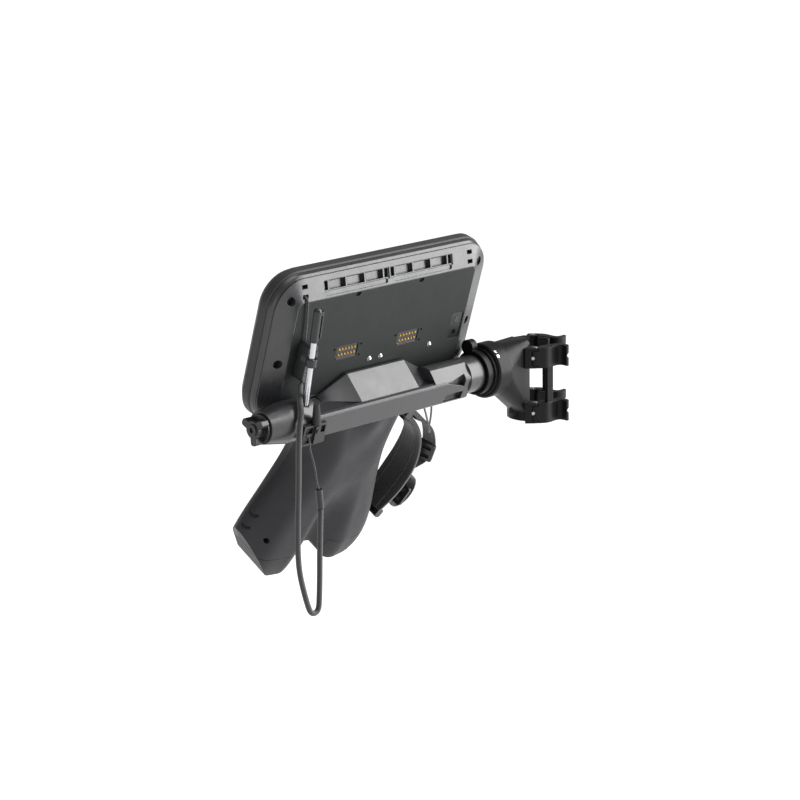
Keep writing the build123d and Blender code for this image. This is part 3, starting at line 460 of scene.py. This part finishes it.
def band_section(width, inner, outer, crown, bulge=0.0, count=12):
    """Closed section of a flat band, with an inner face that may bulge and a crowned outer one."""
    half = width / 2
    points = []
    for k in range(count + 1):
        t = -1 + 2 * k / count
        points.append((t * half, inner - bulge * (1 - t * t)))
    for k in range(count + 1):
        t = 1 - 2 * k / count
        points.append((t * half, outer + crown * (1 - abs(t) ** 3)))
    return points


def pad_width(share):
    """The pad is slim at the top and broadest where the back of the hand lies."""
    return 0.74 + 0.62 * sin(pi * min(1.0, share * 0.75)) ** 2 + 0.12 * share


def strap_piece(name, section, slot_name, replaced, widen=None):
    """One layer of the strap, with its long edges rounded."""
    piece = sweep(name, strap_line, section, look[slot_name], strap_side, widen)
    bevel = piece.modifiers.new("soft_edges", "BEVEL")
    bevel.width = 0.0007
    bevel.segments = 3
    bevel.limit_method = "ANGLE"
    bevel.angle_limit = radians(50)
    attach(piece, "tablet")
    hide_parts(replaced)
    return piece


pad_section = band_section(STRAP_WIDTH, inner=0.0004, outer=0.0032, crown=0.0006, bulge=0.0004)
pad_cover = strap_piece("strap_pad_cover", pad_section, "padding", "strap_pad", pad_width)
tape_section = band_section(TAPE_WIDTH, inner=0.00405, outer=0.0053, crown=0.0002)
strap_piece("strap_webbing_tape", tape_section, "webbing", "strap_webbing")

# Webbing folded back through the two buckles.
FOLD_Y = -0.004
FOLD_SECTION = band_section(0.015, inner=-0.0007, outer=0.0007, crown=0.0002)
UPPER_FOLD = [
    (-60, -24), (-71, -30), (-81, -36), (-91, -46), (-100, -60), (-104, -71), (-100, -79), (-91, -83),
    (-84.6, -84),
]
LOWER_FOLD = [
    (-84.3, -91), (-92, -94), (-98, -100), (-101, -109), (-99.5, -118), (-94, -124), (-86, -124),
    (-77, -117),
]
for name, fold in (("upper_webbing_fold", UPPER_FOLD), ("lower_webbing_fold", LOWER_FOLD)):
    fold_line = catmull(on_grip(fold, FOLD_Y), 7)
    piece = sweep(name, fold_line, FOLD_SECTION, look["webbing"], strap_side)
    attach(piece, "tablet")

# Thin line in a narrow V, from the bracket down to the upper buckle and back.
KEEPER_R = 0.0008
keeper = [
    TABLET @ Vector((0.1236, 0.0050, -0.0132)),
    TABLET @ Vector((0.1160, 0.0030, -0.0220)),
    GRIP @ Vector((-0.0870, 0.0020, -0.0450)),
    GRIP @ Vector((-0.0885, 0.0020, -0.0470)),
    GRIP @ Vector((-0.0840, 0.0030, -0.0430)),
    TABLET @ Vector((0.1100, 0.0040, -0.0230)),
    TABLET @ Vector((0.1149, 0.0055, -0.0132)),
]
hanging_cord("buckle_keeper_line", keeper, KEEPER_R)

# --- Stage, light and camera ----------------------------------------------------------------
FLOOR_Z = -0.42
FLOOR_REACH = 30
corners = [(x * FLOOR_REACH, y * FLOOR_REACH, FLOOR_Z) for x, y in ((-1, -1), (1, -1), (1, 1), (-1, 1))]
floor_mesh = bpy.data.meshes.new("floor")
floor_mesh.from_pydata(corners, [], [(0, 1, 2, 3)])
paper = Shader("floor_paper", (0.35, 0.35, 0.35), 0.9)
paper.bsdf.inputs["Emission Color"].default_value = (1.0, 1.0, 1.0, 1.0)
paper.bsdf.inputs["Emission Strength"].default_value = 0.9
paper.bump(paper.noise(40.0, 3.0), 0.05, 0.0005)
floor = new_object("floor", floor_mesh, paper.done())

world = bpy.data.worlds.new("studio")
world.use_nodes = True
background = world.node_tree.nodes["Background"]
background.inputs["Color"].default_value = (1.0, 1.0, 1.0, 1.0)
background.inputs["Strength"].default_value = 0.32
bpy.context.scene.world = world
bpy.context.scene.view_settings.view_transform = "Standard"

MIDDLE = Vector((0.14, 0.0, 0.02))


def softbox(name, offset, size, watts):
    """Rectangular light, offset from the middle of the object and aimed at it."""
    data = bpy.data.lights.new(name, "AREA")
    data.shape = "RECTANGLE"
    data.size, data.size_y = size
    data.energy = watts
    light = bpy.data.objects.new(name, data)
    light.location = MIDDLE + Vector(offset)
    light.rotation_euler = (MIDDLE - light.location).to_track_quat("-Z", "Y").to_euler()
    bpy.context.scene.collection.objects.link(light)


softbox("right_box", offset=(-1.05, 0.87, 0.50), size=(1.4, 1.6), watts=58)
softbox("top_box", offset=(-0.1, 0.35, 1.5), size=(1.2, 1.0), watts=9)
softbox("left_fill", offset=(1.6, 0.5, 0.45), size=(0.7, 1.2), watts=4)

SENSOR = 36.0


def place_camera(azimuth, elevation, roll, distance, lens, shift_right, shift_up):
    """Camera that looks at a point beside the origin. Angles are in degrees, lens in mm."""
    a, e, r = radians(azimuth), radians(elevation), radians(roll)
    back = Vector((sin(a) * cos(e), -cos(a) * cos(e), sin(e)))
    right = Vector((cos(a), sin(a), 0))
    up = back.cross(right)
    right, up = right * cos(r) + up * sin(r), up * cos(r) - right * sin(r)
    aim = right * shift_right + up * shift_up
    data = bpy.data.cameras.new("camera")
    data.lens = lens
    data.sensor_width = SENSOR
    camera = bpy.data.objects.new("camera", data)
    turn = Matrix((right, up, back)).transposed().to_4x4()
    camera.matrix_world = Matrix.Translation(aim + back * distance) @ turn
    bpy.context.scene.collection.objects.link(camera)
    bpy.context.scene.camera = camera


place_camera(
    azimuth=135.126, elevation=14.279, roll=-0.968, distance=2.0631, lens=118.1, shift_right=-0.1040,
    shift_up=-0.0173,
)
